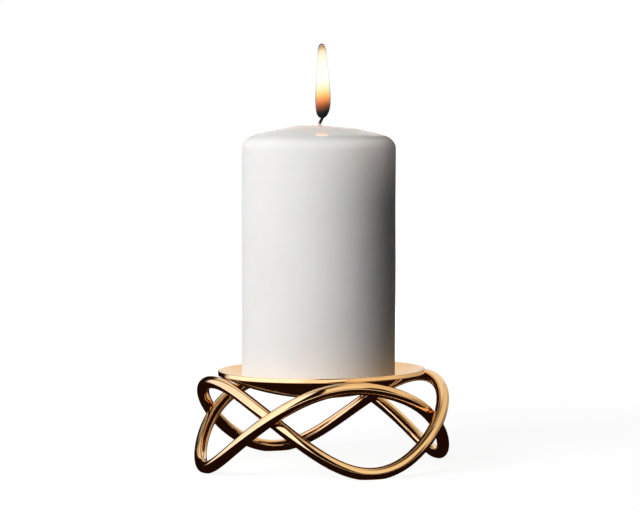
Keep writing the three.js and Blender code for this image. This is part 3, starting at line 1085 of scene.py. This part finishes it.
def add_camera(studio):
    """Camera at its distance and height, aimed at the candle's axis, then tilted down and rolled."""
    heading = studio.camera_heading
    data = bpy.data.cameras.new("camera")
    data.lens = studio.focal_width * data.sensor_width
    camera = bpy.data.objects.new("camera", data)
    reach = studio.camera_distance
    camera.location = (reach * math.sin(heading), -reach * math.cos(heading), studio.camera_height)
    aim = Euler((math.pi / 2 - studio.camera_tilt, 0, heading)).to_matrix()
    camera.rotation_euler = (aim @ Matrix.Rotation(studio.camera_roll, 3, "Z")).to_euler()
    bpy.context.scene.collection.objects.link(camera)
    bpy.context.scene.camera = camera


def set_world(studio):
    """White where it is seen, and dim as a light."""
    world = bpy.data.worlds.new("studio")
    world.use_nodes = True
    tree = world.node_tree
    tree.nodes.clear()
    strength = mapped(tree, seen_ray(tree), (0, 1), (studio.ambient, studio.background))
    shine = add_node(tree, "ShaderNodeBackground", {"Color": opaque((1.0, 1.0, 1.0)), "Strength": strength})
    output = add_node(tree, "ShaderNodeOutputWorld")
    tree.links.new(shine.outputs["Background"], output.inputs["Surface"])
    bpy.context.scene.world = world


class CANDLEHOLDER_OT_dish(Operator):
    """Make the spun gold dish"""

    bl_idname = "candle_holder.dish"
    bl_label = "Dish"

    def execute(self, context):
        points = turned(dish_profile(context.scene.holder_sizes), 256)
        mesh = loop_surface("dish_shell", points, joined=False)
        gold = gold_finish("spun_gold", context.scene.candle_finishes, satin_blur, spun_marks)
        add_piece("dish_shell", mesh, gold, "holder", "candle_dish")
        return {"FINISHED"}


class CANDLEHOLDER_OT_rings(Operator):
    """Make the two wave rings of polished gold wire"""

    bl_idname = "candle_holder.rings"
    bl_label = "Wave Rings"

    def execute(self, context):
        sizes = context.scene.holder_sizes
        gold = gold_finish("drawn_gold", context.scene.candle_finishes, even_blur, drawn_marks)
        for name, node, quarter_turns in (
            ("front_ring_wire", "front_wave_ring", 0),
            ("side_ring_wire", "side_wave_ring", 1),
        ):
            points, run = ring_points(sizes, quarter_turns)
            mesh = loop_surface(name, points, joined=True, span=(run, math.pi * sizes.wire_diameter))
            add_piece(name, mesh, gold, "holder", node)
        return {"FINISHED"}


class CANDLEHOLDER_OT_wax(Operator):
    """Make the wax of the candle"""

    bl_idname = "candle_holder.wax"
    bl_label = "Wax"

    def execute(self, context):
        sizes = context.scene.candle_sizes
        mesh = loop_surface("wax_pillar", leaned(sizes, wax_points(sizes)), joined=True)
        wax = wax_finish(context.scene.candle_finishes, sizes)
        add_piece("wax_pillar", mesh, wax, "candle", "candle_wax")
        return {"FINISHED"}


class CANDLEHOLDER_OT_wick(Operator):
    """Make the braided wick and the tin tab that holds its foot"""

    bl_idname = "candle_holder.wick"
    bl_label = "Wick and Tab"

    def execute(self, context):
        sizes = context.scene.candle_sizes
        finishes = context.scene.candle_finishes
        wick = loop_surface("wick_braid", leaned(sizes, wick_points(sizes)), joined=False)
        add_piece("wick_braid", wick, wick_finish(finishes, sizes), "candle", "candle_wick")
        tab = loop_surface("wick_tab", leaned(sizes, tab_points(sizes)), joined=True)
        add_piece("wick_tab", tab, tin_finish(finishes), "candle", "wick_sustainer")
        return {"FINISHED"}


class CANDLEHOLDER_OT_flame(Operator):
    """Make the flame: its dark foot, its glowing core and its smoky skin"""

    bl_idname = "candle_holder.flame"
    bl_label = "Flame"

    def execute(self, context):
        sizes = context.scene.candle_sizes
        finishes = context.scene.candle_finishes
        glow = core_finish(finishes, sizes)
        smoke = mantle_finish(finishes, sizes)
        core = leaned(sizes, flame_points(sizes, lambda rise: mantle_depth(sizes, rise)))
        mantle = leaned(sizes, flame_points(sizes, np.zeros_like))
        cut = round(FLAME_CUT * len(core))
        for name, points, material, mirrored in (
            ("flame_foot", core[: cut + 1], glow, False),
            ("flame_core", core[cut:], glow, True),
            ("flame_mantle", mantle, smoke, False),
        ):
            mesh = loop_surface(name, points, joined=False)
            layer = add_piece(name, mesh, material, "candle", "candle_flame")
            layer.visible_glossy = mirrored
        return {"FINISHED"}


class CANDLEHOLDER_OT_stage(Operator):
    """Set up the floor, the lamps, the light tent that the metal mirrors, and the camera"""

    bl_idname = "candle_holder.stage"
    bl_label = "Stage"

    def execute(self, context):
        studio = context.scene.candle_studio
        reach, rows, depth = 12.0, 24, 0.02
        floor_rows = np.column_stack([np.geomspace(0.02, reach, rows), np.zeros(rows)])
        floor_rows = np.vstack([floor_rows, [reach, -depth]])
        floor = loop_surface("floor", turned(floor_rows, 96), joined=False)
        add_stage("floor", floor, floor_material(studio))
        tent = add_stage("light_tent", tent_mesh(studio), tent_material())
        for kind in ("camera", "diffuse", "transmission", "volume_scatter", "shadow"):
            setattr(tent, f"visible_{kind}", False)
        for name, place in LAMPS.items():
            add_lamp(f"{name}_lamp", getattr(studio, f"{name}_power"), studio.camera_heading, *place)
        set_world(studio)
        add_camera(studio)
        context.scene.view_settings.view_transform = "Standard"
        return {"FINISHED"}


PIECE_OPERATORS = (
    CANDLEHOLDER_OT_dish,
    CANDLEHOLDER_OT_rings,
    CANDLEHOLDER_OT_wax,
    CANDLEHOLDER_OT_wick,
    CANDLEHOLDER_OT_flame,
    CANDLEHOLDER_OT_stage,
)


class CANDLEHOLDER_PT_panel(Panel):
    """Sidebar panel with a button for each piece"""

    bl_idname = "CANDLEHOLDER_PT_panel"
    bl_label = "Candle Holder"
    bl_space_type = "VIEW_3D"
    bl_region_type = "UI"
    bl_category = "Candle Holder"

    def draw(self, context):
        for operator in PIECE_OPERATORS:
            self.layout.operator(operator.bl_idname)
        for group in SETTINGS:
            settings = getattr(context.scene, group)
            box = self.layout.box()
            for name in settings.__annotations__:
                box.prop(settings, name)


SETTINGS = {
    "holder_sizes": HolderSizes,
    "candle_sizes": CandleSizes,
    "candle_finishes": Finishes,
    "candle_studio": Studio,
}
CLASSES = (*SETTINGS.values(), *PIECE_OPERATORS, CANDLEHOLDER_PT_panel)


def register():
    for item in CLASSES:
        bpy.utils.register_class(item)
    for name, group in SETTINGS.items():
        setattr(bpy.types.Scene, name, PointerProperty(type=group))


def unregister():
    for name in SETTINGS:
        delattr(bpy.types.Scene, name)
    for item in reversed(CLASSES):
        bpy.utils.unregister_class(item)


def main():
    register()
    bpy.ops.candle_holder.dish()
    bpy.ops.candle_holder.rings()
    bpy.ops.candle_holder.wax()
    bpy.ops.candle_holder.wick()
    bpy.ops.candle_holder.flame()
    bpy.ops.candle_holder.stage()


if __name__ == "__main__":
    main()
